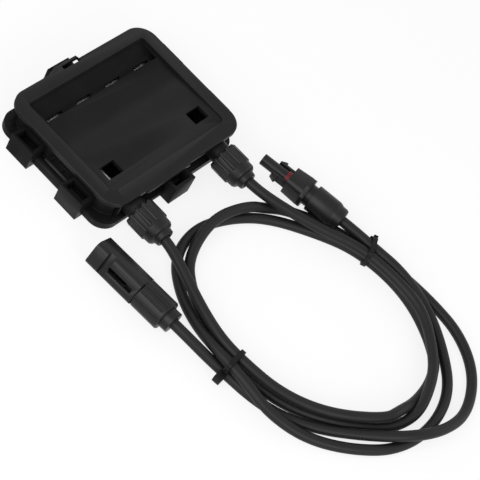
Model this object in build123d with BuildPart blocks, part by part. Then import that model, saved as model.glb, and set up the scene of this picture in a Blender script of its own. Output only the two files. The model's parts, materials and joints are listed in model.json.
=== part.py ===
from build123d import *
import math
import os

# Junction box for the back of a solar panel, with two leads coiled and tied.
# Millimetres, +Z up.  The box lies on its lid, so the face that is glued to
# the panel is on top.  X runs along the long sides and the glands point to -Y.
# The origin is under the middle of the box itself, leads left out.

# ---- driving dimensions -------------------------------------------------
FLANGE_W = 106.4            # adhesive flange, along X
FLANGE_D = 84.0             # adhesive flange, along Y
FLANGE_R = 11.5             # flange corner radius
FLANGE_T = 2.6
HEIGHT = 21.0               # lid to adhesive face
WALL_T = 2.2
LID_RIM_H = 4.8             # height of the lid's rim
LID_FLOOR_T = 2.0
LOOP_OUT = 6.3              # reach of a latch loop past the lid's edge
LOOP_W = 16.0
LOOP_H = 13.2
GLAND_X = 34.0              # gland axis, either side of the middle
GLAND_Z = 11.5
GLAND_REACH = 64.0          # middle of the box to the end of a gland nut
CABLE_D = 6.0
CORE_D = 2.8                # bare conductor

# ---- clearances ---------------------------------------------------------
LID_GAP = 0.3               # lid to housing wall
THREAD_GAP = 0.08           # nut to spigot, radial
FIT_GAP = 0.05              # pieces held inside others

# ---- sizes worked out from them -----------------------------------------
LID_W = FLANGE_W + 2.4
LID_D = FLANGE_D + 0.4
LID_R = 10.0
WALL_W = FLANGE_W - 8.4     # outside of the housing wall
WALL_D = FLANGE_D - 8.0
WALL_R = 9.5
WALL_FOOT = LID_RIM_H + LID_GAP
FLANGE_Z = HEIGHT - FLANGE_T
PANEL_Z = FLANGE_Z - 1.4    # underside of the recessed panel
CABLE_R = CABLE_D / 2
CORE_R = CORE_D / 2
LOOP_X = LID_W / 2 + LOOP_OUT - 0.7
LOOP_Y = LID_D / 2 + LOOP_OUT
# The box stands centred on the origin from nut end to back latch loop.
BODY_Y = (GLAND_REACH - LOOP_Y) / 2

os.makedirs("parts", exist_ok=True)


def at(x, y, z=0.0):
    """A place given from the middle of the box."""
    return (x, y + BODY_Y, z)


# ---- base housing --------------------------------------------------------
RECESS_W = 90.0
RECESS_D = 66.0
RECESS_FRONT = 1.0          # recess depth at its front edge
RECESS_BEND = (-2.0, 1.5)   # where the panel starts to dip, and its depth
RECESS_BACK = 2.4           # depth where the ribbon slot starts
RECESS_R = 3.5
SLOT_W = 86.0
SLOT_FRONT = 20.0           # ribbon slot, from the middle of the box
SLOT_BACK = 32.4
RAMP_T = 1.2                # ribbon ramp under the slot
RAMP_FOOT = 15.4            # height of its face at the front
SLIT_W = 12.0               # slits that let the ribbons through
SLIT_D = 1.6
WINDOW_W = 11.0
WINDOW_D = 8.5
WINDOW_Y = -21.5
SPIGOT_R = 6.4
SPIGOT_END = 57.0
CORE_END = 46.0             # where a lead's bare core starts
SEAL_R = 5.0
SEAL_START = 50.2
LATCH_Y = 19.0              # loops on the short sides
LATCH_BACK_X = -5.0         # loop on the back long side
HOOK_TOP = 9.7
RAIL_Z = 12.2               # underside of the terminal rails
RAIL_T = 0.8
RAIL_W = 16.0
RAIL_X = (-GLAND_X, -GLAND_X / 3, GLAND_X / 3, GLAND_X)
PEG_Y = (-2.0, 14.0)
PEG_R = 1.3

# recess for the panel's glue: level in front, then dipping to the ribbon slot
with BuildPart() as recess:
    with BuildSketch(Plane.YZ.offset(-RECESS_W / 2)):
        with BuildLine():
            Polyline((BODY_Y + RECESS_BEND[0] - 4, HEIGHT - RECESS_BEND[1] + 0.1),
                     (BODY_Y - RECESS_D / 2, HEIGHT - RECESS_FRONT),
                     (BODY_Y - RECESS_D / 2, HEIGHT + 1),
                     (BODY_Y + RECESS_D / 2 + 1.6, HEIGHT + 1),
                     (BODY_Y + SLOT_BACK, HEIGHT - RECESS_BACK),
                     (BODY_Y + SLOT_FRONT, HEIGHT - RECESS_BACK))
            ThreePointArc((BODY_Y + RECESS_BEND[0] - 4,
                           HEIGHT - RECESS_BEND[1] + 0.1),
                          (BODY_Y + RECESS_BEND[0] + 5,
                           HEIGHT - RECESS_BEND[1] - 0.35),
                          (BODY_Y + SLOT_FRONT, HEIGHT - RECESS_BACK))
        make_face()
    extrude(amount=RECESS_W)
    with BuildSketch(Plane.XY.offset(HEIGHT - FLANGE_T - 1)):
        with Locations(at(0, 0.8)):
            RectangleRounded(RECESS_W, RECESS_D + 1.6, RECESS_R)
    extrude(amount=FLANGE_T + 3, mode=Mode.INTERSECT)

with BuildPart() as base_housing:
    with BuildSketch(Plane.XY.offset(WALL_FOOT)):
        with Locations(at(0, 0)):
            RectangleRounded(WALL_W, WALL_D, WALL_R)
            RectangleRounded(WALL_W - 2 * WALL_T, WALL_D - 2 * WALL_T,
                             WALL_R - WALL_T, mode=Mode.SUBTRACT)
    extrude(amount=FLANGE_Z - WALL_FOOT)
    with BuildSketch(Plane.XY.offset(PANEL_Z)):
        with Locations(at(0, 0)):
            RectangleRounded(WALL_W - 0.2, WALL_D - 0.2, WALL_R)
    extrude(amount=FLANGE_Z - PANEL_Z)
    with BuildSketch(Plane.XY.offset(FLANGE_Z)):
        with Locations(at(0, 0)):
            RectangleRounded(FLANGE_W, FLANGE_D, FLANGE_R)
        with BuildLine():
            Polyline(at(-23, 41)[:2], at(-21, 42)[:2], at(-14.5, 44.3)[:2],
                     at(1.6, 44.3)[:2], at(2.4, 41)[:2], close=True)
        make_face()
        with BuildLine():
            Polyline(at(-30, -41)[:2], at(-26, -43.2)[:2], at(6, -43.2)[:2],
                     at(9, -41)[:2], close=True)
        make_face()
    extrude(amount=FLANGE_T)
    rim = base_housing.edges().filter_by(Plane.XY).group_by(Axis.Z)[-1]
    chamfer(rim, 0.4)
    add(recess.part, mode=Mode.SUBTRACT)
    with Locations(at(1, (SLOT_FRONT + SLOT_BACK) / 2, HEIGHT)):
        Box(SLOT_W, SLOT_BACK - SLOT_FRONT, 12, mode=Mode.SUBTRACT)
    # ramp that guides the ribbons down and forward to their slits
    with BuildSketch(Plane.YZ.offset(1 - SLOT_W / 2 - 0.5)):
        with BuildLine():
            Polyline((BODY_Y + SLOT_BACK + 0.6, HEIGHT - RECESS_BACK),
                     (BODY_Y + SLOT_BACK, HEIGHT - RECESS_BACK),
                     (BODY_Y + SLOT_FRONT, RAMP_FOOT),
                     (BODY_Y + SLOT_FRONT, PANEL_Z + 0.2),
                     (BODY_Y + SLOT_FRONT - RAMP_T, PANEL_Z + 0.2),
                     (BODY_Y + SLOT_FRONT - RAMP_T, RAMP_FOOT - RAMP_T),
                     (BODY_Y + SLOT_BACK + 0.6,
                      HEIGHT - RECESS_BACK - RAMP_T), close=True)
        make_face()
    extrude(amount=SLOT_W + 1)
    with Locations([at(x, SLOT_FRONT + 1.2 + SLIT_D / 2, RAMP_FOOT)
                    for x in RAIL_X]):
        Box(SLIT_W, SLIT_D, 4, mode=Mode.SUBTRACT)
    with Locations(at(-GLAND_X - 0.5, WINDOW_Y, HEIGHT),
                   at(GLAND_X + 0.5, WINDOW_Y, HEIGHT)):
        Box(WINDOW_W, WINDOW_D, 12, mode=Mode.SUBTRACT)
    # release slot over the back latch
    with Locations(at(LATCH_BACK_X + 0.5, 41.5, HEIGHT - FLANGE_T / 2)):
        Box(12.9, 2.4, FLANGE_T + 2, mode=Mode.SUBTRACT)
    # pegs that carry the terminal rails
    with BuildSketch(Plane.XY.offset(RAIL_Z + RAIL_T)):
        with Locations([at(x, y)[:2] for x in RAIL_X for y in PEG_Y]):
            Circle(PEG_R + 1.2)
    extrude(until=Until.NEXT)
    with BuildSketch(Plane.XY.offset(RAIL_Z - 0.9)):
        with Locations([at(x, y)[:2] for x in RAIL_X for y in PEG_Y]):
            Circle(PEG_R)
    extrude(amount=RAIL_T + 1.4)
    # gland spigots
    with BuildSketch(Plane.XZ.offset(WALL_D / 2 - 1 - BODY_Y)):
        with Locations((-GLAND_X, GLAND_Z), (GLAND_X, GLAND_Z)):
            Circle(SPIGOT_R)
    extrude(amount=SPIGOT_END - WALL_D / 2 + 1)
    with BuildSketch(Plane.XZ.offset(SPIGOT_END - BODY_Y)):
        with Locations((-GLAND_X, GLAND_Z), (GLAND_X, GLAND_Z)):
            Circle(SEAL_R + FIT_GAP)
    extrude(amount=-(SPIGOT_END - SEAL_START), mode=Mode.SUBTRACT)
    with BuildSketch(Plane.XZ.offset(SPIGOT_END - BODY_Y)):
        with Locations((-GLAND_X, GLAND_Z), (GLAND_X, GLAND_Z)):
            Circle(CABLE_R + 0.3)
    extrude(amount=-(SPIGOT_END - WALL_D / 2 + WALL_T + 1), mode=Mode.SUBTRACT)
    # shelf with two eyes between the latches of each short side
    for side in (-1, 1):
        with Locations(at(side * (WALL_W / 2 + 2.4), -2, 10.6)):
            Box(5.2, 17, 2)
        with Locations(at(side * (WALL_W / 2 + 2.6), 2.4, 10.6),
                       at(side * (WALL_W / 2 + 2.6), -6.0, 10.6)):
            Box(3.0, 1.4, 4, mode=Mode.SUBTRACT)
    # snap hooks, ramped from below
    hook = ((WALL_W / 2 - 0.2, 6.4), (WALL_W / 2 + 0.3, HOOK_TOP - 0.9),
            (WALL_W / 2 + 0.3, HOOK_TOP), (WALL_W / 2 - 0.2, HOOK_TOP))
    for y in (-LATCH_Y, LATCH_Y):
        with BuildSketch(Plane.XZ.offset(-(y + BODY_Y) - 4.5)):
            with BuildLine():
                Polyline(*hook, close=True)
            make_face()
            mirror(about=Plane.YZ)
        extrude(amount=9)
    # stiffening ribs beside the corners
    with Locations(*[at(sx * 42.6, sy * (WALL_D / 2 + 0.9),
                        (WALL_FOOT + FLANGE_Z) / 2 + 0.2)
                     for sx in (-1, 1) for sy in (-1, 1)]):
        Box(1.6, 2.2, FLANGE_Z - WALL_FOOT - 0.4)
base_housing.part.label = "base_housing"

# ---- lid with its latch loops ---------------------------------------------
GROOVE_T = WALL_T + 0.2
GROOVE_DEPTH = 1.6
BAR_T = 1.9
CHEEK_T = 2.0
LOOP_FLOOR = 1.2

with BuildPart() as lid:
    with BuildSketch():
        with Locations(at(0, 0)):
            RectangleRounded(LID_W, LID_D, LID_R)
    extrude(amount=LID_RIM_H)
    fillet(lid.edges().filter_by(Plane.XY).group_by(Axis.Z)[0], 0.6)
    # latch loops: outer bar, two cheeks and the bar that snaps over a hook
    for side in (-1, 1):
        for y in (-LATCH_Y, LATCH_Y):
            inner = WALL_W / 2 + LID_GAP + 0.05
            with Locations(at(side * (LOOP_X + inner) / 2, y, LOOP_H / 2)):
                Box(LOOP_X - inner, LOOP_W, LOOP_H)
            well = (inner + 2.3 + LOOP_X - BAR_T) / 2
            with Locations(at(side * well, y, LOOP_H / 2 + LID_RIM_H / 2)):
                Box(LOOP_X - BAR_T - inner - 2.3, LOOP_W - 2 * CHEEK_T,
                    LOOP_H - LID_RIM_H + 0.02, mode=Mode.SUBTRACT)
            outer = (LID_W / 2 + LOOP_X - BAR_T) / 2
            with Locations(at(side * outer, y, LOOP_H / 2 + LOOP_FLOOR)):
                Box(LOOP_X - BAR_T - LID_W / 2, LOOP_W - 2 * CHEEK_T,
                    LOOP_H, mode=Mode.SUBTRACT)
            with Locations(at(side * (inner + 1.15), y,
                              (LID_RIM_H + HOOK_TOP + 0.3) / 2)):
                Box(2.34, LOOP_W - 2 * CHEEK_T, HOOK_TOP + 0.3 - LID_RIM_H,
                    mode=Mode.SUBTRACT)
    for side, x in ((-1, 0.5), (1, LATCH_BACK_X)):
        inner = WALL_D / 2 + LID_GAP + 0.05
        with Locations(at(x, side * (LOOP_Y + inner) / 2, LOOP_H / 2)):
            Box(LOOP_W, LOOP_Y - inner, LOOP_H)
        well = (inner + 2.3 + LOOP_Y - BAR_T) / 2
        with Locations(at(x, side * well, LOOP_H / 2 + LID_RIM_H / 2)):
            Box(LOOP_W - 2 * CHEEK_T, LOOP_Y - BAR_T - inner - 2.3,
                LOOP_H - LID_RIM_H + 0.02, mode=Mode.SUBTRACT)
        outer = (LID_D / 2 + LOOP_Y - BAR_T) / 2
        with Locations(at(x, side * outer, LOOP_H / 2 + LOOP_FLOOR)):
            Box(LOOP_W - 2 * CHEEK_T, LOOP_Y - BAR_T - LID_D / 2, LOOP_H,
                mode=Mode.SUBTRACT)
    # inside of the lid and the gasket's groove
    with BuildSketch(Plane.XY.offset(LID_FLOOR_T)):
        with Locations(at(0, 0)):
            RectangleRounded(WALL_W - 8, WALL_D - 8, WALL_R - 4)
    extrude(amount=HEIGHT, mode=Mode.SUBTRACT)
    with BuildSketch(Plane.XY.offset(LID_RIM_H - GROOVE_DEPTH)):
        with Locations(at(0, 0)):
            RectangleRounded(WALL_W + 0.2, WALL_D + 0.2, WALL_R + 0.1)
            RectangleRounded(WALL_W + 0.2 - 2 * GROOVE_T,
                             WALL_D + 0.2 - 2 * GROOVE_T,
                             WALL_R + 0.1 - GROOVE_T, mode=Mode.SUBTRACT)
    extrude(amount=GROOVE_DEPTH + 0.01, mode=Mode.SUBTRACT)
lid.part.label = "lid"

with BuildPart() as lid_gasket:
    with BuildSketch(Plane.XY.offset(LID_RIM_H - GROOVE_DEPTH + FIT_GAP)):
        with Locations(at(0, 0)):
            RectangleRounded(WALL_W - 0.2, WALL_D - 0.2, WALL_R - 0.1)
            RectangleRounded(WALL_W - 2 * WALL_T + 0.2,
                             WALL_D - 2 * WALL_T + 0.2,
                             WALL_R - WALL_T + 0.1, mode=Mode.SUBTRACT)
    extrude(amount=GROOVE_DEPTH + LID_GAP - 2 * FIT_GAP)
lid_gasket.part.label = "lid_gasket"

# ---- terminal rails, diodes and ribbon clips --------------------------------
RAIL_FRONT = -8.0
RAIL_BACK = 29.0
BARREL_R = 2.6
rails = []
for number, x in enumerate(RAIL_X, start=1):
    with BuildPart() as rail:
        with BuildSketch(Plane.XY.offset(RAIL_Z)):
            with Locations(at(x, (RAIL_FRONT + RAIL_BACK) / 2)):
                RectangleRounded(RAIL_W, RAIL_BACK - RAIL_FRONT, 1.5)
            with Locations([at(x, y)[:2] for y in PEG_Y]):
                Circle(PEG_R + FIT_GAP, mode=Mode.SUBTRACT)
        extrude(amount=RAIL_T)
        if abs(x) == GLAND_X:
            # crimp barrel round the lead's conductor
            with BuildSketch(Plane.XZ.offset(-RAIL_FRONT - 2 - BODY_Y)):
                with Locations((x, GLAND_Z)):
                    Circle(BARREL_R)
            extrude(amount=9)
            with BuildSketch(Plane.XZ.offset(-RAIL_FRONT - 2 - BODY_Y)):
                with Locations((x, GLAND_Z)):
                    Circle(CORE_R + FIT_GAP)
            extrude(amount=9, mode=Mode.SUBTRACT)
    rail.part.label = f"terminal_rail_{number}"
    rails.append(rail)

DIODE_R = 2.7
DIODE_L = 8.0
DIODE_Z = 8.6
DIODE_Y = 1.0
LEAD_R = 0.6
LEAD_SPAN = 10.0            # diode middle to the foot of each wire
diodes = []
for number, x in enumerate((RAIL_X[0] + RAIL_X[1], 0, RAIL_X[2] + RAIL_X[3]),
                           start=1):
    with BuildPart() as diode:
        with Locations(Location(at(x / 2, DIODE_Y, DIODE_Z), (0, 90, 0))):
            Cylinder(DIODE_R, DIODE_L)
            Cylinder(LEAD_R, 2 * LEAD_SPAN)
        with Locations(at(x / 2 - LEAD_SPAN, DIODE_Y, (DIODE_Z + RAIL_Z) / 2),
                       at(x / 2 + LEAD_SPAN, DIODE_Y, (DIODE_Z + RAIL_Z) / 2)):
            Cylinder(LEAD_R, RAIL_Z - DIODE_Z)
    diode.part.label = f"bypass_diode_{number}"
    diodes.append(diode)

CLIP_W = 9.0
CLIP_T = 0.6
CLIP_FRONT = RAIL_BACK - 6.5
CLIP_BACK = RAIL_BACK + 0.2
with BuildPart() as ribbon_clips:
    with BuildSketch(Plane.YZ):
        with BuildLine():
            Polyline((BODY_Y + CLIP_FRONT, RAIL_Z + RAIL_T + FIT_GAP),
                     (BODY_Y + CLIP_BACK, RAIL_Z + RAIL_T + FIT_GAP),
                     (BODY_Y + CLIP_BACK, RAIL_Z - FIT_GAP),
                     (BODY_Y + CLIP_FRONT, RAIL_Z - FIT_GAP),
                     (BODY_Y + CLIP_FRONT, RAIL_Z - FIT_GAP - CLIP_T),
                     (BODY_Y + CLIP_BACK + CLIP_T, RAIL_Z - FIT_GAP - CLIP_T),
                     (BODY_Y + CLIP_BACK + CLIP_T,
                      RAIL_Z + RAIL_T + FIT_GAP + CLIP_T),
                     (BODY_Y + CLIP_FRONT, RAIL_Z + RAIL_T + FIT_GAP + CLIP_T),
                     close=True)
        make_face()
    extrude(amount=CLIP_W / 2, both=True)
    clip = ribbon_clips.part
with BuildPart() as clip_set:
    with Locations([(x, 0, 0) for x in RAIL_X]):
        add(clip)
clip_set.part.label = "ribbon_clips"

# ---- gland seals, cages and nuts --------------------------------------------
NUT_R = 9.3
NUT_START = 43.4
COLLAR_R = 6.2
CAGE_L = 4.6                # cage past the spigot
CAGE_END = SPIGOT_END + CAGE_L
NUT_SHOULDER = CAGE_END - 1.3

with BuildPart() as gland_seal:
    with BuildSketch(Plane.XZ.offset(SEAL_START + 0.1 - BODY_Y)):
        with Locations((-GLAND_X, GLAND_Z)):
            Circle(SEAL_R)
            Circle(CABLE_R + 0.02, mode=Mode.SUBTRACT)
    extrude(amount=SPIGOT_END - SEAL_START - 0.2)

with BuildPart() as gland_cage:
    with BuildSketch(Plane.XZ.offset(SPIGOT_END + 0.1 - BODY_Y)):
        with Locations((-GLAND_X, GLAND_Z)):
            Circle(SEAL_R)
    extrude(amount=CAGE_END - SPIGOT_END - 0.2, taper=8)
    with BuildSketch(Plane.XZ.offset(SPIGOT_END - BODY_Y)):
        with Locations((-GLAND_X, GLAND_Z)):
            Circle(CABLE_R + 0.15)
    extrude(amount=CAGE_END - SPIGOT_END + 1, mode=Mode.SUBTRACT)
    with Locations(Plane(at(-GLAND_X, -CAGE_END, GLAND_Z), z_dir=(0, 1, 0))):
        with PolarLocations(SEAL_R - 1, 6):
            Box(4, 0.7, 5.6, mode=Mode.SUBTRACT)

with BuildPart() as gland_nut:
    with BuildSketch(Plane(at(-GLAND_X, 0, GLAND_Z), x_dir=(1, 0, 0),
                           z_dir=(0, 0, 1))):
        with BuildLine():
            Polyline((SPIGOT_R + THREAD_GAP, -NUT_START), (NUT_R, -NUT_START),
                     (NUT_R - 0.5, -NUT_SHOULDER + 1),
                     (NUT_R - 1.5, -NUT_SHOULDER), (COLLAR_R, -NUT_SHOULDER),
                     (COLLAR_R - 0.3, -GLAND_REACH + 0.6),
                     (COLLAR_R - 0.9, -GLAND_REACH),
                     (CABLE_R + 0.4, -GLAND_REACH),
                     (CABLE_R + 0.4, -CAGE_END - 0.2),
                     (SEAL_R - 0.25, -CAGE_END - 0.2),
                     (SEAL_R + 0.2, -SPIGOT_END - 0.2),
                     (SPIGOT_R + THREAD_GAP, -SPIGOT_END - 0.2), close=True)
        make_face()
    revolve(axis=Axis(at(-GLAND_X, 0, GLAND_Z), (0, 1, 0)))
    with BuildSketch(Plane.XZ.offset(NUT_START + 1.6 - BODY_Y)):
        with Locations((-GLAND_X, GLAND_Z)):
            with PolarLocations(NUT_R, 14):
                Circle(0.7)
    extrude(amount=NUT_SHOULDER - NUT_START - 1, mode=Mode.SUBTRACT)

glands = []
for side, name in ((0, "left"), (2 * GLAND_X, "right")):
    for piece, label in ((gland_seal, "gland_seal"), (gland_cage, "gland_cage"),
                         (gland_nut, "gland_nut")):
        copy_ = piece.part.moved(Location((side, 0, 0)))
        copy_.label = f"{label}_{name}"
        glands.append(copy_)

# ---- leads -------------------------------------------------------------------
# Each lead leaves its gland, goes once round the coil, back across the top and
# round again to its connector.  The pairs lie on one another where they are
# tied, so the heights follow the pile.
LEFT_ROUTE = (
    (-34, -46, 11.5), (-34, -79, 11.5), (-46, -111, 10), (-52.5, -142, 10.9),
    (-48.5, -168, 9.6), (-34.5, -192, 9.4), (-10.5, -213, 9.4),
    (20.5, -218.4, 5.5), (47, -205.3, 3.1), (61.3, -180, 3.1),
    (66, -155, 3.6), (63.2, -132.4, 4.3), (47.4, -111.2, 3.1),
    (32.5, -88, 3.1), (14, -75.5, 3.1), (-8, -69, 3.1), (-29, -75.5, 3.1),
    (-44.7, -92.5, 3.1), (-51.6, -112, 5.2), (-56.8, -131, 10.4),
    (-59, -151, 10.9), (-60.8, -171, 8.6), (-51, -193, 3.1),
    (-35.5, -213, 3.1), (-14, -228.5, 3.1), (13, -232, 3.1),
    (38.5, -223.5, 3.1), (56.5, -203, 3.1), (67.5, -181, 5),
    (68.7, -158, 9.6), (67.6, -139, 10.7), (65.2, -119, 9.7),
    (62.1, -101, 9.7))
RIGHT_ROUTE = (
    (34, -46, 11.5), (34, -79, 11.5), (46.5, -110, 9.9), (60.5, -137, 10.2),
    (62.3, -161, 9.4), (58.3, -182, 9.4), (41.8, -199.8, 5.5),
    (19.5, -211.6, 3.1), (-9.5, -210.5, 3.1), (-34.5, -192, 3.1),
    (-48.5, -168, 3.1), (-52.5, -142, 4.6), (-47.5, -117, 3.1),
    (-37.5, -94, 3.1), (-23, -80.5, 4), (0, -71.5, 10.4), (24, -73.3, 7.8),
    (43, -89, 3.1), (53, -107.1, 3.1), (70.9, -134, 4.2), (73.5, -157, 3.1),
    (74.5, -180, 3.1), (71.5, -203, 3.1), (59, -224, 3.1), (38, -237, 3.1),
    (14, -238, 8.5), (-8, -228.5, 10.8), (-24, -212, 4.5),
    (-43.5, -191, 3.1), (-56.4, -168, 3.1), (-60, -134, 4.2),
    (-66, -113.5, 9.3), (-66.8, -94, 9.3))


def placed(route):
    return [Vector(*at(*point)) for point in route]


def bend_radii(points):
    """Largest even bends that leave a straight piece in every run."""
    radii = []
    for before, here, after in zip(points, points[1:], points[2:]):
        turn = math.radians((here - before).get_angle(after - here))
        run = min((here - before).length, (after - here).length)
        radii.append(0.45 * run / math.tan(turn / 2))
    return radii


leads = []
for name, route in (("cable_left", LEFT_ROUTE), ("cable_right", RIGHT_ROUTE)):
    points = placed(route)
    radii = bend_radii(points)
    with BuildPart() as lead:
        with BuildLine() as path:
            FilletPolyline(*points, radius=radii)
        with BuildSketch(Plane(points[0], z_dir=points[1] - points[0])):
            Circle(CABLE_R)
        sweep(path=path.wires()[0])
    length = sum(edge.length for edge in path.edges())
    print(name, "length", round(length, 1), "tightest bend",
          round(min(radii), 1), "volume ratio",
          round(lead.part.volume / (math.pi * CABLE_R**2 * length), 4))
    lead.part.label = name
    leads.append(lead)

cores = []
for name, x in (("conductor_left", -GLAND_X), ("conductor_right", GLAND_X)):
    with BuildPart() as core:
        with BuildSketch(Plane.XZ.offset(CORE_END - 0.05 - BODY_Y)):
            with Locations((x, GLAND_Z)):
                Circle(CORE_R)
        extrude(amount=-(CORE_END - 0.05 + RAIL_FRONT))
    core.part.label = name
    cores.append(core)

# ---- connectors, modelled along the lead they end -----------------------------
TAIL_R = 6.2
TAIL_L = 5.0
CON_CAGE = (1.6, 5.2)       # cage, from the end of the nut
CON_SEAL = (5.4, 10.4)
CON_CABLE_END = 11.4        # how far the lead goes in


def axis_plane(route, reach, roll=0):
    """Plane at a connector's tail, looking along it to the front."""
    end = Vector(*at(*route[-1]))
    along = (end - Vector(*at(*route[-2]))).normalized()
    level = Vector(along.Y, -along.X, 0).normalized()
    return Plane(end - along * reach, x_dir=level.rotate(Axis((0, 0, 0), along), roll),
                 z_dir=along)


SOCKET_L = 55.0
SOCKET_NUT_R = 9.2
SOCKET_NUT_END = 23.0
BORE_R = 5.4
PIN_R = 2.0
SOCKET_ROLL = 25            # the socket lies on one edge of its housing
SOCKET_W = 15.6
SOCKET_H = 14.6
socket_plane = axis_plane(RIGHT_ROUTE, CON_CABLE_END, SOCKET_ROLL)

with BuildPart() as socket_housing:
    with BuildSketch(socket_plane.offset(SOCKET_NUT_END + 0.3)):
        RectangleRounded(SOCKET_W, SOCKET_H, 3.4)
    extrude(amount=SOCKET_L - SOCKET_NUT_END - 0.3)
    with BuildSketch(socket_plane.offset(CON_SEAL[0] - 0.1)):
        Circle(SPIGOT_R)
    extrude(amount=SOCKET_NUT_END + 1 - CON_SEAL[0])
    with BuildSketch(socket_plane.offset(CON_SEAL[0] - 0.2)):
        Circle(SEAL_R + FIT_GAP)
    extrude(amount=CON_SEAL[1] - CON_SEAL[0] + 0.3, mode=Mode.SUBTRACT)
    with BuildSketch(socket_plane.offset(CON_SEAL[1])):
        Circle(CABLE_R + 0.3)
    extrude(amount=SOCKET_L, mode=Mode.SUBTRACT)
    with BuildSketch(socket_plane.offset(SOCKET_NUT_END + 8)):
        Circle(BORE_R)
    extrude(amount=SOCKET_L, mode=Mode.SUBTRACT)
    # windows and slits for the mating prongs
    with BuildSketch(socket_plane.offset(42.5)):
        with Locations((-SOCKET_W / 2, 0), (SOCKET_W / 2, 0)):
            Rectangle(4.6, SOCKET_H + 1)
    extrude(amount=4.5, mode=Mode.SUBTRACT)
    with BuildSketch(socket_plane.offset(26)):
        with Locations((-SOCKET_W / 2, 0), (SOCKET_W / 2, 0)):
            Rectangle(6, 3.2)
    extrude(amount=17, mode=Mode.SUBTRACT)
socket_housing.part.label = "socket_housing"

with BuildPart() as socket_pin:
    with BuildSketch(socket_plane.offset(CON_CABLE_END + 0.1)):
        Circle(CABLE_R)
    extrude(amount=20 - CON_CABLE_END)
    with BuildSketch(socket_plane.offset(19)):
        Circle(PIN_R)
    extrude(amount=26)
    with BuildSketch(socket_plane.offset(45)):
        Circle(PIN_R)
    extrude(amount=1.6, taper=35)
socket_pin.part.label = "socket_pin"

PLUG_L = 52.8
PLUG_NUT_R = 8.1
PLUG_NUT_END = 21.0
PLUG_FRONT = 34.0           # front face of the plug's body
TUBE_R = 3.4
plug_plane = axis_plane(LEFT_ROUTE, CON_CABLE_END)

with BuildPart() as plug_housing:
    with BuildSketch(plug_plane.offset(PLUG_NUT_END + 0.3)):
        RegularPolygon(8.7, 8, major_radius=False, rotation=22.5)
    extrude(amount=2.4)
    with BuildSketch(plug_plane.offset(PLUG_NUT_END + 2.6)):
        RectangleRounded(15.6, 14.6, 4.2)
    extrude(amount=PLUG_FRONT - PLUG_NUT_END - 2.6, taper=4)
    with BuildSketch(plug_plane.offset(PLUG_FRONT - 1)):
        Circle(TUBE_R)
    extrude(amount=PLUG_L - PLUG_FRONT + 1)
    with BuildSketch(plug_plane.offset(CON_SEAL[0] - 0.1)):
        Circle(SPIGOT_R)
    extrude(amount=PLUG_NUT_END + 1 - CON_SEAL[0])
    # two latch prongs with outward hooks
    for side in (-1, 1):
        with BuildSketch(Plane(plug_plane.origin, x_dir=plug_plane.x_dir,
                               z_dir=(0, 0, 1)).offset(-2.4)):
            with BuildLine():
                Polyline((side * 4.2, PLUG_FRONT - 4), (side * 4.2, 44),
                         (side * 5.2, 44), (side * 6.9, 41),
                         (side * 6.9, 40), (side * 5.6, 40),
                         (side * 5.6, PLUG_FRONT - 4), close=True)
            make_face()
        extrude(amount=4.8)
    with BuildSketch(plug_plane.offset(CON_SEAL[0] - 0.2)):
        Circle(SEAL_R + FIT_GAP)
    extrude(amount=CON_SEAL[1] - CON_SEAL[0] + 0.3, mode=Mode.SUBTRACT)
    with BuildSketch(plug_plane.offset(CON_SEAL[1])):
        Circle(CABLE_R + 0.3)
    extrude(amount=14, mode=Mode.SUBTRACT)
    with BuildSketch(plug_plane.offset(CON_SEAL[1] + 13)):
        Circle(PIN_R + 0.3)
    extrude(amount=PLUG_L, mode=Mode.SUBTRACT)
plug_housing.part.label = "plug_housing"

with BuildPart() as plug_contact:
    with BuildSketch(plug_plane.offset(CON_CABLE_END + 0.1)):
        Circle(CABLE_R)
    extrude(amount=20 - CON_CABLE_END)
    with BuildSketch(plug_plane.offset(19)):
        Circle(PIN_R + 0.2)
    extrude(amount=31.5)
    with BuildSketch(plug_plane.offset(36)):
        Circle(PIN_R - 0.6)
    extrude(amount=20, mode=Mode.SUBTRACT)
plug_contact.part.label = "plug_contact"

with BuildPart() as plug_face_seal:
    with BuildSketch(plug_plane.offset(PLUG_FRONT + 0.1)):
        Circle(TUBE_R + 0.7)
        Circle(TUBE_R + 0.03, mode=Mode.SUBTRACT)
    extrude(amount=2.4)
plug_face_seal.part.label = "plug_face_seal"

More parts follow.
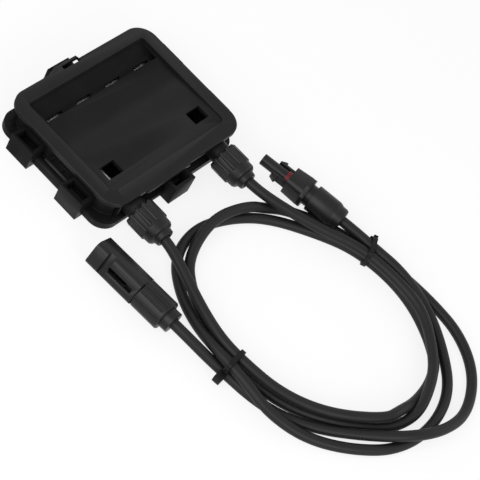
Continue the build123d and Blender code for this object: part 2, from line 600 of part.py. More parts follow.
# seal, cage and nut behind each connector
connector_pieces = []
for name, plane, radius, nut_end, tail_r in (
        ("socket", socket_plane, SOCKET_NUT_R, SOCKET_NUT_END, TAIL_R),
        ("plug", plug_plane, PLUG_NUT_R, PLUG_NUT_END, TAIL_R - 0.4)):
    with BuildPart() as seal:
        with BuildSketch(plane.offset(CON_SEAL[0])):
            Circle(SEAL_R)
            Circle(CABLE_R + 0.02, mode=Mode.SUBTRACT)
        extrude(amount=CON_SEAL[1] - CON_SEAL[0])
    seal.part.label = f"{name}_seal"
    with BuildPart() as cage:
        with BuildSketch(plane.offset(CON_CAGE[1])):
            Circle(SEAL_R - 0.1)
        extrude(amount=-(CON_CAGE[1] - CON_CAGE[0]), taper=8)
        with BuildSketch(plane):
            Circle(CABLE_R + 0.15)
        extrude(amount=8, mode=Mode.SUBTRACT)
        with Locations(plane.offset(CON_CAGE[0])):
            with PolarLocations(SEAL_R - 1, 6):
                Box(4, 0.7, 4.6, mode=Mode.SUBTRACT)
    cage.part.label = f"{name}_cage"
    with BuildPart() as nut:
        with BuildSketch(plane.offset(TAIL_L)):
            Circle(radius - 0.5)
        extrude(amount=nut_end - TAIL_L)
        chamfer(nut.edges(), 0.5)
        with BuildSketch(plane):
            Circle(tail_r)
        extrude(amount=TAIL_L + 1)
        with BuildSketch(plane.offset(TAIL_L + 1.5)):
            with PolarLocations(radius - 0.5, 12):
                Circle(0.62)
        extrude(amount=nut_end - TAIL_L, mode=Mode.SUBTRACT)
        with BuildSketch(plane):
            Circle(CABLE_R + 0.4)
        extrude(amount=TAIL_L, mode=Mode.SUBTRACT)
        with BuildSketch(plane.offset(CON_SEAL[0] - 0.2)):
            Circle(SEAL_R + 0.15)
        extrude(amount=-(CON_CAGE[1] - CON_CAGE[0] + 0.2), taper=8,
                mode=Mode.SUBTRACT)
        with BuildSketch(plane.offset(CON_SEAL[0] - 0.2)):
            Circle(SPIGOT_R + THREAD_GAP)
        extrude(amount=nut_end, mode=Mode.SUBTRACT)
    nut.part.label = f"{name}_nut"
    connector_pieces += [seal, cage, nut]

# ---- cable ties ------------------------------------------------------------
TIE_T = 0.8
TIE_W = 4.6
ties = []
for name, y, x_range, top in (("cable_tie_left", -142, (-62.6, -47.9), 14.0),
                              ("cable_tie_right", -138, (55.7, 74.8), 14.1)):
    low, high = x_range
    with BuildPart() as tie:
        with BuildSketch(Plane.XZ.offset(-y - BODY_Y - TIE_W / 2)):
            with Locations(((low + high) / 2, (TIE_T + top) / 2)):
                RectangleRounded(high - low + 2 * TIE_T, top + TIE_T, 4.2)
                RectangleRounded(high - low, top - TIE_T, 3.4,
                                 mode=Mode.SUBTRACT)
        extrude(amount=TIE_W)
        # head on the outer side, with the cut end of the strap through it
        side = -1 if low < 0 else 1
        edge = low - TIE_T if side < 0 else high + TIE_T
        with Locations(at(edge + side * 2.2, y, 5.6)):
            Box(4.6, 7.4, 5.4)
        with Locations(at(edge + side * 2.4, y, 5.6)):
            Box(TIE_T + 0.4, TIE_W - 0.6, 8.6)
    tie.part.label = name
    ties.append(tie)

# ---- export ------------------------------------------------------------------
for piece in ([base_housing, lid, lid_gasket, clip_set, socket_housing,
               socket_pin, plug_housing, plug_contact, plug_face_seal]
              + rails + diodes + cores + leads + connector_pieces + ties):
    export_step(piece.part, f"parts/{piece.part.label}.step")
for part in glands:
    export_step(part, f"parts/{part.label}.step")
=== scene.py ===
import json
import math

import bpy
from bpy.props import FloatProperty, FloatVectorProperty, PointerProperty
from mathutils import Matrix, Vector


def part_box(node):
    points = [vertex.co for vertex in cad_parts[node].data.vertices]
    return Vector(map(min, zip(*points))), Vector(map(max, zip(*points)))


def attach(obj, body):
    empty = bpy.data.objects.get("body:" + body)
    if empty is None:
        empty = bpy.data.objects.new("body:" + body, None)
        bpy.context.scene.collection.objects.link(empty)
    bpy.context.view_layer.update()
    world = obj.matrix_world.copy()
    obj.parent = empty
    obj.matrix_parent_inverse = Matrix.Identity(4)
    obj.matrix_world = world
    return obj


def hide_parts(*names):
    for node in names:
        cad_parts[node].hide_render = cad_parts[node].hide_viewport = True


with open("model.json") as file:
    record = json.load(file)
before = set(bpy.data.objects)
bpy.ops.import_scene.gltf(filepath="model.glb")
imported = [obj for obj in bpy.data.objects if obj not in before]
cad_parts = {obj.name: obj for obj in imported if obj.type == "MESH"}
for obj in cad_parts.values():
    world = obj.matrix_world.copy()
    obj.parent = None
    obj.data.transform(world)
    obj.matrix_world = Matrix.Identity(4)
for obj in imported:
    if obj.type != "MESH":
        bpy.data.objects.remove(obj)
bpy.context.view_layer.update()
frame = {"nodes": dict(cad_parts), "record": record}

bl_info = {
    "name": "Solar Junction Box",
    "version": (1, 0, 0),
    "blender": (4, 5, 0),
    "location": "View3D > Sidebar > Junction Box",
    "description": "Dresses a solar junction box with its two coiled leads",
    "category": "Add Mesh",
}

MM = 0.001
# The frame gives its boxes in metres.
FLANGE_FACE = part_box("base_housing")[1].z
# The leads, the ties and the camera are placed from the middle of the box,
# which lies this far behind the frame's origin.
BODY_Y = (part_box("lid_gasket")[0].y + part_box("lid_gasket")[1].y) / 2

# Lengths from here on are in millimetres, unless a comment says metres.

# Where the camera is, which ways are right and up for it, and its lens.
CAMERA_PLACE = (-627.8, -278.8, 781.5)
CAMERA_RIGHT = Vector((0.6368, -0.6855, 0.3529))
CAMERA_UP = Vector((0.4560, 0.7039, 0.5446))
CAMERA_LENS = 142.6
# Each lamp's name, place and size in metres and power in watts.
LAMPS = (
    ("window lamp", (-1.0, 0.1, 0.8), 1.0, 10.0),
    ("back lamp", (0.2, 1.2, 0.5), 0.5, 1.5),
    ("side lamp", (1.0, -0.9, 0.7), 0.9, 2.0),
    ("front lamp", (-0.6, -1.1, 0.6), 0.6, 6.0))
LAMPS_AIM = Vector((0, -0.08, 0))       # in metres

# The housing shines less in its recess than on its face. Across the recess the
# shine also carries painted light: a painted highlight band across its middle
# and painted shade towards its back, where the back wall's shadow falls.
FACE_SHINE = 0.165
RECESS_SHINE = 0.125
SHINE_DEPTHS = (1.4, 0.2)   # below the face, where one turns into the other
RECESS_TOP = 0.3            # below the face, where the recess starts
RECESS_HALF = 33            # half of the recess, from front to back
# What is left of the recess's shine at its front, at its back and at steps
# between them, each given as its place and its share. The step above one at the
# middle is a painted highlight band; the falling shares behind it, down to the
# back's, are painted shade.
FRONT_SHARE = (0.85, 0.86, 0.88, 1)
PAINTED_SHADE_AT_BACK = (0.25, 0.25, 0.25, 1)
PAINTED_SHEEN_AND_SHADE_STEPS = ((0.3, 0.95), (0.5, 1.15), (0.6, 0.72), (0.74, 0.6),
                (0.84, 0.3))

# The control points of each lead's middle line, from its gland to its end.
LEFT_ROUTE = (
    (-34, -46, 11.5), (-34, -66, 11.5), (-38, -81.5, 11), (-47, -107, 10),
    (-52, -126, 10.4), (-52.7, -142, 10.9), (-48.5, -168, 9.6),
    (-35, -192, 9.4), (-10.5, -213, 9.4), (0, -214.5, 9.4),
    (17.5, -216, 3.1), (34.5, -213.2, 3.1), (48, -205.8, 3.1),
    (61.8, -181, 3.1), (66, -157, 3.1), (61.2, -131, 4), (50, -110, 3.1),
    (33, -87.6, 3.1), (14, -75.5, 3.1), (-8, -69, 3.1), (-31, -75, 3.1),
    (-45.3, -92.5, 3.1), (-53.2, -112, 4.2), (-58.8, -131, 10),
    (-60, -151, 10.9), (-61.5, -172, 8.6), (-51.5, -193.5, 3.1),
    (-35.5, -213, 3.1), (-14, -228.5, 3.1), (13, -232, 3.1),
    (39, -224, 3.1), (57.2, -203.4, 3.1), (68.5, -181, 5),
    (69.5, -158, 9.4), (66.8, -138, 10), (65.2, -119, 9.7),
    (62.1, -101, 9.7))
RIGHT_ROUTE = (
    (34, -46, 11.5), (34, -66, 11.5), (36, -82, 12), (47.4, -109, 9.9),
    (60.5, -133, 9.5), (63.4, -160, 9.4), (60.6, -183, 9.4),
    (43, -204.8, 9.4), (29.5, -214, 9.9), (12.3, -221.3, 7.2),
    (0.3, -220, 3.1), (-12, -214.8, 3.1), (-34.6, -193.5, 3.1),
    (-49.5, -168, 3.1), (-53, -142, 4.6), (-47.8, -117, 3.1),
    (-38.8, -95, 3.1), (-25.6, -79.7, 4), (-1, -72, 10.4), (23, -77, 9.8),
    (36, -83.6, 5.2), (46, -89.5, 3.1), (57, -105.5, 3.1), (68, -134, 4),
    (73.5, -157, 3.1), (75, -180, 3.1), (73, -203.8, 3.1),
    (60.3, -225.2, 3.1), (38, -238.4, 3.1), (14, -238, 8.5),
    (-8, -228.5, 10.8), (-24, -212, 4.5), (-44, -191.5, 3.1),
    (-57.5, -168.5, 3.1), (-61.6, -134, 3.9), (-66, -113.5, 9.3),
    (-66.8, -94, 9.3))
# Each lead's node, name, route, kind of end and length in metres, and the
# nodes that lie inside the connector at its end.
LEADS = (
    ("cable_left", "lead_to_plug", LEFT_ROUTE, "plug", 0.81,
     ("plug_contact", "plug_face_seal", "plug_seal", "plug_cage")),
    ("cable_right", "lead_to_socket", RIGHT_ROUTE, "connector", 0.83,
     ("socket_pin", "socket_seal", "socket_cage")))

# A nut's outline, as radius and height above its collar's face.
NUT_OUTLINE = (
    (3.5, 3.0), (3.5, 0.3), (4.0, 0), (4.9, 0), (5.4, 0.4), (5.7, 2.4),
    (5.9, 3.1), (6.8, 3.3), (7.5, 3.9), (8.1, 4.9), (8.8, 18.8), (8.7, 19.5),
    (8.2, 19.9), (7.0, 19.9), (7.0, 8.4))
NUT_RIBS = 11
RIB_RADIUS = 1.5
RIB_LENGTH = 12.8
RIB_CIRCLE = 7.65           # from the nut's axis to each rib's
RIB_MIDDLE = 11.8           # above the collar's face
RIB_ROUNDING = 1.1
PLUG_OUTLINE = (
    (3.5, 3.0), (3.5, 0.3), (4.0, 0), (5.5, 0), (6.2, 0.4), (6.6, 1.4),
    (6.8, 4.2), (7.3, 5.2), (7.7, 6.6), (8.0, 20.5), (7.8, 21.0), (6.6, 21.0),
    (6.6, 11.0))
PLUG_TAIL = 11.4            # from the collar's face to the turning mark

# Where each tie is, its turn about Z in degrees, the width of its bundle, the
# side its head is on and how far the head stands out.
TIES = (
    ("cable_tie_left", (-55.9, -140.5, 7.4), 6, 14.6, -1, 6.4),
    ("cable_tie_right", (64.9, -137.5, 7.2), 26, 13.4, 1, 1.6))
STRAP_WIDTH = 2.6
STRAP_HEIGHT = 12.5         # inside, as high as the bundle
STRAP_CORNER = 3.2
STRAP_THICKNESS = 0.9
TIE_HEAD = 4.4              # along the bundle and upwards
TIE_HEAD_AHEAD = 0.3        # from the strap's middle
TIE_HEAD_RISE = 1.5         # up on the right-hand tie, down on the left one
TIE_TAIL = (1.0, STRAP_WIDTH, 5.0)
TIE_TAIL_OUT = 0.9          # from the bundle's side
TIE_TAIL_RISE = 3.6
TIE_BLOCK_ROUNDING = 0.4


# ---- materials --------------------------------------------------------------

def new_material(name):
    """A material with its node tree and its one shader."""
    material = bpy.data.materials.new(name)
    material.use_nodes = True
    tree = material.node_tree
    shader = tree.nodes["Principled BSDF"]
    return material, tree, shader


def object_coordinates(tree, scale=(1, 1, 1)):
    """Coordinates in metres on the piece, stretched by scale."""
    place = tree.nodes.new("ShaderNodeTexCoord")
    mapping = tree.nodes.new("ShaderNodeMapping")
    mapping.inputs["Scale"].default_value = scale
    tree.links.new(place.outputs["Object"], mapping.inputs["Vector"])
    return mapping.outputs["Vector"]


def calculated(tree, operation, *values):
    """A Math node's result; each value is a number or an output to link."""
    node = tree.nodes.new("ShaderNodeMath")
    node.operation = operation
    for socket, value in zip(node.inputs, values):
        if isinstance(value, bpy.types.NodeSocket):
            tree.links.new(value, socket)
        else:
            socket.default_value = value
    return node.outputs[0]


def mixed_shaders(tree, amount, first, second):
    """A shader that goes from first to second as amount goes from 0 to 1."""
    blend = tree.nodes.new("ShaderNodeMixShader")
    tree.links.new(amount, blend.inputs["Fac"])
    tree.links.new(first, blend.inputs[1])
    tree.links.new(second, blend.inputs[2])
    return blend.outputs[0]


def moulded_plastic(name, colour, roughness, grain=0.05, grain_size=2600.0,
                    specular=0.22):
    """Moulded plastic: a fine spark-eroded grain and slight cloudiness."""
    material, tree, shader = new_material(name)
    coordinates = object_coordinates(tree)
    cloud = tree.nodes.new("ShaderNodeTexNoise")
    cloud.inputs["Scale"].default_value = 55.0
    cloud.inputs["Detail"].default_value = 4.0
    tree.links.new(coordinates, cloud.inputs["Vector"])
    tint = tree.nodes.new("ShaderNodeValToRGB")
    dark, light = tint.color_ramp.elements
    dark.position = 0.35
    light.position = 0.7
    dark.color = [channel * 0.86 for channel in colour] + [1]
    light.color = [channel * 1.12 for channel in colour] + [1]
    tree.links.new(cloud.outputs["Fac"], tint.inputs["Fac"])
    tree.links.new(tint.outputs["Color"], shader.inputs["Base Color"])
    sheen = tree.nodes.new("ShaderNodeMapRange")
    sheen.inputs["To Min"].default_value = roughness - 0.05
    sheen.inputs["To Max"].default_value = roughness + 0.06
    tree.links.new(cloud.outputs["Fac"], sheen.inputs["Value"])
    tree.links.new(sheen.outputs["Result"], shader.inputs["Roughness"])
    pits = tree.nodes.new("ShaderNodeTexNoise")
    pits.inputs["Scale"].default_value = grain_size
    pits.inputs["Detail"].default_value = 2.0
    tree.links.new(coordinates, pits.inputs["Vector"])
    bump = tree.nodes.new("ShaderNodeBump")
    bump.inputs["Strength"].default_value = grain
    bump.inputs["Distance"].default_value = 0.0002
    tree.links.new(pits.outputs["Fac"], bump.inputs["Height"])
    tree.links.new(bump.outputs["Normal"], shader.inputs["Normal"])
    shader.inputs["Specular IOR Level"].default_value = specular
    return material


def bare_metal(name, colour, roughness):
    """Drawn or stamped metal with fine lines along Y."""
    material, tree, shader = new_material(name)
    coordinates = object_coordinates(tree, (900, 40, 900))
    lines = tree.nodes.new("ShaderNodeTexNoise")
    lines.inputs["Scale"].default_value = 1.0
    lines.inputs["Detail"].default_value = 3.0
    tree.links.new(coordinates, lines.inputs["Vector"])
    spread = tree.nodes.new("ShaderNodeMapRange")
    spread.inputs["To Min"].default_value = roughness - 0.08
    spread.inputs["To Max"].default_value = roughness + 0.1
    tree.links.new(lines.outputs["Fac"], spread.inputs["Value"])
    tree.links.new(spread.outputs["Result"], shader.inputs["Roughness"])
    shader.inputs["Base Color"].default_value = [*colour, 1]
    shader.inputs["Metallic"].default_value = 1.0
    return material


# ---- helpers ----------------------------------------------------------------

def only(thing):
    """Selects one object alone and makes it active."""
    bpy.ops.object.select_all(action="DESELECT")
    thing.hide_viewport = False
    thing.select_set(True)
    bpy.context.view_layer.objects.active = thing


def paint(thing, material):
    """Gives a piece one material in place of those that it had."""
    thing.data.materials.clear()
    thing.data.materials.append(material)


def body_of_node(node):
    """The body that a node moves with."""
    bodies = frame["record"]["behaviour"]["bodies"]
    return next(body for body, nodes in bodies.items() if node in nodes)


def joined(first, *others):
    """Joins pieces into the first one."""
    bpy.ops.object.select_all(action="DESELECT")
    for part in (first, *others):
        part.select_set(True)
    bpy.context.view_layer.objects.active = first
    bpy.ops.object.join()
    return first


def placed(piece, matrix):
    """Moves a piece's mesh by matrix and leaves its object at the origin."""
    piece.matrix_world = matrix
    only(piece)
    bpy.ops.object.transform_apply(location=True, rotation=True, scale=True)


def softened(node, name, edge):
    """A copy of a moulded piece, its faces joined and its edges rounded."""
    piece = frame["nodes"][node].copy()
    piece.data = frame["nodes"][node].data.copy()
    piece.name = name
    piece.parent = None
    bpy.context.collection.objects.link(piece)
    only(piece)
    bpy.ops.object.mode_set(mode="EDIT")
    bpy.ops.mesh.select_all(action="SELECT")
    bpy.ops.mesh.remove_doubles(threshold=0.000004)
    bpy.ops.mesh.dissolve_limited(angle_limit=math.radians(0.4))
    bpy.ops.mesh.customdata_custom_splitnormals_clear()
    bpy.ops.object.mode_set(mode="OBJECT")
    bevel = piece.modifiers.new("rounded edges", "BEVEL")
    bevel.width = edge
    bevel.segments = 2
    bevel.limit_method = "ANGLE"
    bevel.angle_limit = math.radians(28)
    bevel.harden_normals = True
    bpy.ops.object.modifier_apply(modifier=bevel.name)
    bpy.ops.object.shade_smooth_by_angle(angle=math.radians(35))
    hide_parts(node)
    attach(piece, body_of_node(node))
    return piece


# ---- settings ---------------------------------------------------------------

class BoxSettings(bpy.types.PropertyGroup):
    housing_colour: FloatVectorProperty(
        name="Housing", description="Colour of the box", subtype="COLOR",
        size=3, min=0, max=1, default=(0.0075, 0.0075, 0.008))
    fitting_colour: FloatVectorProperty(
        name="Fittings", description="Colour of nuts and connectors",
        subtype="COLOR", size=3, min=0, max=1,
        default=(0.008, 0.008, 0.0085))
    edge: FloatProperty(
        name="Edge", description="Rounding of moulded edges",
        default=0.00035, min=0.0, unit="LENGTH")


class LeadSettings(bpy.types.PropertyGroup):
    diameter: FloatProperty(
        name="Diameter", description="Outside of the jacket",
        default=0.006, min=0.001, unit="LENGTH")
    jacket_colour: FloatVectorProperty(
        name="Jacket", description="Colour of the leads' jacket",
        subtype="COLOR", size=3, min=0, max=1, default=(0.008, 0.008, 0.009))


class StageSettings(bpy.types.PropertyGroup):
    floor_colour: FloatVectorProperty(
        name="Floor", description="Colour of the floor", subtype="COLOR",
        size=3, min=0, max=1, default=(0.93, 0.93, 0.93))
    daylight: FloatProperty(
        name="Daylight", description="Strength of the light from all round",
        default=0.55, min=0.0)


# ---- operators --------------------------------------------------------------

class JBOX_OT_stage(bpy.types.Operator):
    """Adds the camera, floor and lights"""
    bl_idname = "junction_box.stage"
    bl_label = "Stage"

    def execute(self, context):
        settings = context.scene.jbox_stage
        camera = bpy.data.objects.new("camera", bpy.data.cameras.new("camera"))
        context.collection.objects.link(camera)
        back = CAMERA_RIGHT.cross(CAMERA_UP).normalized()
        up = back.cross(CAMERA_RIGHT).normalized()
        axes = Matrix((CAMERA_RIGHT.normalized(), up, back))
        place = Vector(CAMERA_PLACE) * MM + Vector((0, BODY_Y, 0))
        camera.matrix_world = (Matrix.Translation(place)
                               @ axes.transposed().to_4x4())
        camera.data.lens = CAMERA_LENS
        camera.data.sensor_width = 36.0
        camera.data.clip_end = 20.0
        context.scene.camera = camera
        self.floor(settings)
        self.lamps(context)
        self.sky(context, settings)
        context.scene.view_settings.view_transform = "Standard"
        return {"FINISHED"}

    def floor(self, settings):
        """A pale floor that the camera sees as nearly white."""
        bpy.ops.object.select_all(action="DESELECT")
        bpy.ops.mesh.primitive_plane_add(size=6.0)
        floor = bpy.context.active_object
        floor.name = "floor"
        material, tree, shader = new_material("pale floor")
        shader.inputs["Base Color"].default_value = [*settings.floor_colour, 1]
        shader.inputs["Roughness"].default_value = 0.9
        shader.inputs["Specular IOR Level"].default_value = 0.0
        ray = tree.nodes.new("ShaderNodeLightPath")
        seen = calculated(tree, "MAXIMUM", ray.outputs["Is Camera Ray"],
                          ray.outputs["Is Glossy Ray"])
        glow = tree.nodes.new("ShaderNodeEmission")
        glow.inputs["Color"].default_value = (1, 1, 1, 1)
        surface = mixed_shaders(tree, calculated(tree, "MULTIPLY", seen, 0.8),
                                shader.outputs[0], glow.outputs[0])
        tree.links.new(surface, tree.nodes["Material Output"].inputs["Surface"])
        paint(floor, material)

    def lamps(self, context):
        """Four soft lamps round the box, all turned towards it."""
        for name, place, size, power in LAMPS:
            lamp = bpy.data.objects.new(name, bpy.data.lights.new(name, "AREA"))
            context.collection.objects.link(lamp)
            lamp.location = place
            lamp.data.size = size
            lamp.data.energy = power
            aim = LAMPS_AIM - Vector(place)
            lamp.rotation_euler = aim.to_track_quat("-Z", "Y").to_euler()

    def sky(self, context, settings):
        """White to look at, and dimmer as a light than it looks."""
        world = bpy.data.worlds.new("studio")
        context.scene.world = world
        world.use_nodes = True
        tree = world.node_tree
        light = tree.nodes["Background"]
        light.inputs["Color"].default_value = (1, 1, 1, 1)
        light.inputs["Strength"].default_value = settings.daylight
        seen = tree.nodes.new("ShaderNodeBackground")
        seen.inputs["Strength"].default_value = 1.0
        seen.inputs["Color"].default_value = (1, 1, 1, 1)
        ray = tree.nodes.new("ShaderNodeLightPath")
        direct = calculated(tree, "MAXIMUM", ray.outputs["Is Camera Ray"],
                            ray.outputs["Is Glossy Ray"])
        looked_at = calculated(tree, "MAXIMUM", direct,
                               ray.outputs["Is Transmission Ray"])
        surface = mixed_shaders(tree, looked_at, light.outputs[0],
                                seen.outputs[0])
        tree.links.new(surface, tree.nodes["World Output"].inputs["Surface"])


class JBOX_OT_housing(bpy.types.Operator):
    """Dresses the base housing and the lid"""
    bl_idname = "junction_box.housing"
    bl_label = "Housing and lid"

    def execute(self, context):
        settings = context.scene.jbox_box
        black = moulded_plastic("satin black housing",
                                settings.housing_colour, 0.42,
                                specular=FACE_SHINE)
        # The recess's shine gets a painted highlight band and painted shade
        # towards its back.
        self.paint_recess_sheen_and_shade(black)
        for node, name in (("base_housing", "housing_shell"),
                           ("lid", "latched_lid")):
            paint(softened(node, name, settings.edge), black)
        return {"FINISHED"}

    def paint_recess_sheen_and_shade(self, material):
        """Below the flange's face the plastic shines less than on it.

        In the recess the shine also carries painted light: a painted highlight
        band across the middle and painted shade falling towards the back.
        """
        tree = material.node_tree
        shader = tree.nodes["Principled BSDF"]
        place = tree.nodes.new("ShaderNodeTexCoord")
        split = tree.nodes.new("ShaderNodeSeparateXYZ")
        shine = tree.nodes.new("ShaderNodeMapRange")
        deep, shallow = SHINE_DEPTHS
        shine.inputs["From Min"].default_value = FLANGE_FACE - deep * MM
        shine.inputs["From Max"].default_value = FLANGE_FACE - shallow * MM
        shine.inputs["To Min"].default_value = RECESS_SHINE
        shine.inputs["To Max"].default_value = FACE_SHINE
        along = tree.nodes.new("ShaderNodeMapRange")
        along.inputs["From Min"].default_value = BODY_Y - RECESS_HALF * MM
        along.inputs["From Max"].default_value = BODY_Y + RECESS_HALF * MM
        # A painted highlight band across the recess's middle and painted shade
        # towards its back, as shares of the shine along Y.
        painted_band = tree.nodes.new("ShaderNodeValToRGB")
        ramp = painted_band.color_ramp
        ramp.interpolation = "EASE"
        ramp.elements[0].color = FRONT_SHARE
        ramp.elements[1].color = PAINTED_SHADE_AT_BACK
        for step, level in PAINTED_SHEEN_AND_SHADE_STEPS:
            ramp.elements.new(step).color = (level, level, level, 1)
        painted_light = tree.nodes.new("ShaderNodeMix")
        painted_light.inputs["A"].default_value = 1.0
        tree.links.new(place.outputs["Object"], split.inputs["Vector"])
        tree.links.new(split.outputs["Z"], shine.inputs["Value"])
        tree.links.new(split.outputs["Y"], along.inputs["Value"])
        tree.links.new(along.outputs["Result"], painted_band.inputs["Fac"])
        below = calculated(tree, "LESS_THAN", split.outputs["Z"],
                           FLANGE_FACE - RECESS_TOP * MM)
        tree.links.new(below, painted_light.inputs["Factor"])
        tree.links.new(painted_band.outputs["Color"], painted_light.inputs["B"])
        level = calculated(tree, "MULTIPLY", shine.outputs["Result"],
                           painted_light.outputs["Result"])
        tree.links.new(level, shader.inputs["Specular IOR Level"])


class JBOX_OT_fittings(bpy.types.Operator):
    """Dresses the nuts and the connector housings"""
    bl_idname = "junction_box.fittings"
    bl_label = "Nuts and connectors"

    def execute(self, context):
        settings = context.scene.jbox_box
        black = moulded_plastic("satin black fittings",
                                settings.fitting_colour, 0.38)
        for node in ("socket_nut", "socket_housing", "plug_housing"):
            paint(softened(node, f"{node}_moulded", settings.edge * 0.7),
                  black)
        nuts = {}
        for node in ("gland_nut_left", "gland_nut_right"):
            low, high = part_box(node)
            middle = (low + high) / 2
            nuts[node] = self.turned_nut(
                f"{node}_moulded", NUT_OUTLINE, NUT_RIBS,
                Vector((middle.x, low.y, middle.z)), Vector((0, 1, 0)))
        joint = next(joint for joint in frame["record"]["behaviour"]["joints"]
                     if joint["child"] == "plug_nut")
        axis = Vector(joint["axis"]).normalized()
        tail = Vector(joint["pos_m"]) - axis * PLUG_TAIL * MM
        nuts["plug_nut"] = self.turned_nut("plug_nut_moulded", PLUG_OUTLINE, 0,
                                           tail, axis)
        for node, nut in nuts.items():
            paint(nut, black)
            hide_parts(node)
            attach(nut, node)
        return {"FINISHED"}

    def turned_nut(self, name, outline, ribs, end, axis):
        """A domed nut with its collar's face at end, running along axis."""
        bpy.ops.object.select_all(action="DESELECT")
        first, *rest = outline
        bpy.ops.mesh.primitive_circle_add(vertices=96, radius=first[0] * MM)
        nut = bpy.context.active_object
        nut.name = name
        bpy.ops.object.mode_set(mode="EDIT")
        bpy.ops.mesh.select_all(action="SELECT")
        radius, height = first
        for wider, higher in rest:
            bpy.ops.mesh.extrude_region_move(TRANSFORM_OT_translate={
                "value": (0, 0, (higher - height) * MM)})
            grow = wider / radius
            bpy.ops.transform.resize(value=(grow, grow, 1),
                                     center_override=(0, 0, higher * MM))
            radius, height = wider, higher
        bpy.ops.object.mode_set(mode="OBJECT")
        joined(nut, *(self.rib(2 * math.pi * (number + 0.5) / ribs)
                      for number in range(ribs)))
        upright = axis.to_track_quat("Z", "Y").to_matrix().to_4x4()
        placed(nut, Matrix.Translation(end) @ upright)
        bpy.ops.object.mode_set(mode="EDIT")
        bpy.ops.mesh.select_all(action="SELECT")
        bpy.ops.mesh.normals_make_consistent(inside=False)
        bpy.ops.object.mode_set(mode="OBJECT")
        bpy.ops.object.shade_smooth_by_angle(angle=math.radians(40))
        return nut

    def rib(self, turn):
        """One round-ended grip rib, this far round the nut in radians."""
        bpy.ops.object.select_all(action="DESELECT")
        bpy.ops.mesh.primitive_cylinder_add(
            vertices=20, radius=RIB_RADIUS * MM, depth=RIB_LENGTH * MM,
            location=(RIB_CIRCLE * MM * math.cos(turn),
                      RIB_CIRCLE * MM * math.sin(turn), RIB_MIDDLE * MM))
        rib = bpy.context.active_object
        soft = rib.modifiers.new("rounded ends", "BEVEL")
        soft.width = RIB_ROUNDING * MM
        soft.segments = 4
        soft.limit_method = "ANGLE"
        soft.angle_limit = math.radians(40)
        bpy.ops.object.modifier_apply(modifier=soft.name)
        return rib


class JBOX_OT_inside(bpy.types.Operator):
    """Gives the metal pieces, diodes, cages and seals their finish"""
    bl_idname = "junction_box.inside"
    bl_label = "Inner pieces"

    def execute(self, context):
        finishes = {
            # The tinned copper is darker than bright tin: painted shade for the
            # shade it lies in inside the box.
            "tinned_copper": bare_metal("tinned copper", (0.4, 0.385, 0.36),
                                        0.4),
            "clip_steel": bare_metal("spring steel", (0.5, 0.5, 0.5), 0.3),
            "diode": moulded_plastic("epoxy black", (0.02, 0.02, 0.02), 0.5),
            "cage": moulded_plastic("nylon grey", (0.04, 0.04, 0.045), 0.5),
            "seal": moulded_plastic("seal rubber", (0.03, 0.03, 0.03), 0.75),
            "red_seal": moulded_plastic("dark red rubber",
                                        (0.16, 0.012, 0.014), 0.45),
            "tie": moulded_plastic("tie nylon", (0.006, 0.006, 0.0065), 0.45,
                                   specular=0.14),
        }
        for row in frame["record"]["subparts"]:
            if row["material_slot"] in finishes:
                paint(frame["nodes"][row["node"]],
                      finishes[row["material_slot"]])
        return {"FINISHED"}


class JBOX_OT_leads(bpy.types.Operator):
    """Lays the two coiled leads"""
    bl_idname = "junction_box.leads"
    bl_label = "Leads"

    def execute(self, context):
        settings = context.scene.jbox_leads
        jacket = moulded_plastic("matt black jacket", settings.jacket_colour,
                                 0.48, grain=0.12, grain_size=1500.0)
        for node, name, route, kind, length, inner_nodes in LEADS:
            curve = self.cord_along(name, route, settings.diameter)
            lead = bpy.data.objects.new(name, curve)
            context.collection.objects.link(lead)
            paint(lead, jacket)
            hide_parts(node)
            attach(lead, "base")
            pieces = [frame["nodes"][inner] for inner in inner_nodes]
            stem = name.rsplit("_", 1)[1]
            pieces += [bpy.data.objects[f"{stem}_{outer}_moulded"]
                       for outer in ("nut", "housing")]
        return {"FINISHED"}

    def cord_along(self, name, route, diameter):
        """A round cord on a smooth curve that is drawn to the route."""
        curve = bpy.data.curves.new(name, "CURVE")
        curve.dimensions = "3D"
        curve.bevel_depth = diameter / 2
        curve.bevel_resolution = 6
        curve.resolution_u = 10
        curve.use_fill_caps = True
        spline = curve.splines.new("NURBS")
        spline.points.add(len(route) - 1)
        for point, (x, y, z) in zip(spline.points, route):
            point.co = (x * MM, y * MM + BODY_Y, z * MM, 1)
        spline.order_u = 3
        spline.use_endpoint_u = True
        return curve


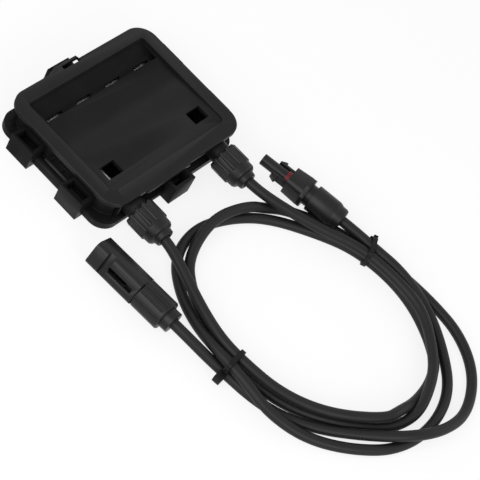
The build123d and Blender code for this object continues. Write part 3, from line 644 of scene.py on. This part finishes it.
class JBOX_OT_ties(bpy.types.Operator):
    """Pulls the two cable ties tight round the leads"""
    bl_idname = "junction_box.ties"
    bl_label = "Ties"

    def execute(self, context):
        nylon = bpy.data.materials["tie nylon"]
        for node, (x, y, z), turn, wide, side, out in TIES:
            head = ((side * (wide + out) / 2, TIE_HEAD_AHEAD,
                     side * TIE_HEAD_RISE), (out, TIE_HEAD, TIE_HEAD))
            tail = ((side * (wide / 2 + TIE_TAIL_OUT), 0, TIE_TAIL_RISE),
                    TIE_TAIL)
            strap = joined(self.strap(wide), self.block(*head),
                           self.block(*tail))
            strap.name = f"{node}_strap"
            placed(strap,
                   Matrix.Translation((x * MM, y * MM + BODY_Y, z * MM))
                   @ Matrix.Rotation(math.radians(turn), 4, "Z"))
            bpy.ops.object.shade_smooth_by_angle(angle=math.radians(40))
            paint(strap, nylon)
            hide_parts(node)
            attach(strap, "base")
        return {"FINISHED"}

    def strap(self, wide):
        """A band with rounded corners, running round Y."""
        bpy.ops.object.select_all(action="DESELECT")
        bpy.ops.mesh.primitive_cube_add(size=1)
        band = bpy.context.active_object
        band.scale = (wide * MM, STRAP_WIDTH * MM, STRAP_HEIGHT * MM)
        bpy.ops.object.transform_apply(location=False, rotation=False,
                                       scale=True)
        bpy.ops.object.mode_set(mode="EDIT")
        bpy.ops.mesh.select_mode(type="FACE")
        bpy.ops.mesh.select_all(action="DESELECT")
        bpy.ops.object.mode_set(mode="OBJECT")
        for face in band.data.polygons:
            face.select = abs(face.normal.y) > 0.9
        bpy.ops.object.mode_set(mode="EDIT")
        bpy.ops.mesh.delete(type="ONLY_FACE")
        bpy.ops.mesh.select_mode(type="EDGE")
        bpy.ops.mesh.select_all(action="DESELECT")
        bpy.ops.object.mode_set(mode="OBJECT")
        points = band.data.vertices
        for edge in band.data.edges:
            ends = [points[n].co.y for n in edge.vertices]
            edge.select = abs(ends[0] - ends[1]) > MM
        bpy.ops.object.mode_set(mode="EDIT")
        bpy.ops.mesh.bevel(offset=STRAP_CORNER * MM, segments=8,
                           affect="EDGES")
        bpy.ops.object.mode_set(mode="OBJECT")
        thick = band.modifiers.new("thickness", "SOLIDIFY")
        thick.thickness = STRAP_THICKNESS * MM
        thick.offset = 1.0
        bpy.ops.object.modifier_apply(modifier=thick.name)
        return band

    def block(self, place, size):
        """A block with rounded edges, such as a tie's head or its tail."""
        bpy.ops.object.select_all(action="DESELECT")
        bpy.ops.mesh.primitive_cube_add(
            size=1, location=[value * MM for value in place])
        block = bpy.context.active_object
        block.scale = [value * MM for value in size]
        bpy.ops.object.transform_apply(location=False, rotation=False,
                                       scale=True)
        edge = block.modifiers.new("rounded edges", "BEVEL")
        edge.width = TIE_BLOCK_ROUNDING * MM
        edge.segments = 3
        bpy.ops.object.modifier_apply(modifier=edge.name)
        return block


class JBOX_PT_panel(bpy.types.Panel):
    """Lists the pieces"""
    bl_idname = "JBOX_PT_panel"
    bl_label = "Junction Box"
    bl_space_type = "VIEW_3D"
    bl_region_type = "UI"
    bl_category = "Junction Box"

    def draw(self, context):
        for settings in (context.scene.jbox_box, context.scene.jbox_leads,
                         context.scene.jbox_stage):
            for name in settings.bl_rna.properties.keys():
                if name not in ("rna_type", "name"):
                    self.layout.prop(settings, name)
        for operator in OPERATORS:
            self.layout.operator(operator.bl_idname)


SETTINGS = (BoxSettings, LeadSettings, StageSettings)
OPERATORS = (JBOX_OT_stage, JBOX_OT_housing, JBOX_OT_fittings,
             JBOX_OT_inside, JBOX_OT_leads, JBOX_OT_ties)


def register():
    for cls in (*SETTINGS, *OPERATORS, JBOX_PT_panel):
        bpy.utils.register_class(cls)
    bpy.types.Scene.jbox_box = PointerProperty(type=BoxSettings)
    bpy.types.Scene.jbox_leads = PointerProperty(type=LeadSettings)
    bpy.types.Scene.jbox_stage = PointerProperty(type=StageSettings)


def unregister():
    del bpy.types.Scene.jbox_stage
    del bpy.types.Scene.jbox_leads
    del bpy.types.Scene.jbox_box
    for cls in reversed((*SETTINGS, *OPERATORS, JBOX_PT_panel)):
        bpy.utils.unregister_class(cls)


def main():
    register()
    bpy.ops.junction_box.stage()
    bpy.ops.junction_box.housing()
    bpy.ops.junction_box.fittings()
    bpy.ops.junction_box.inside()
    bpy.ops.junction_box.leads()
    bpy.ops.junction_box.ties()


if __name__ == "__main__":
    main()
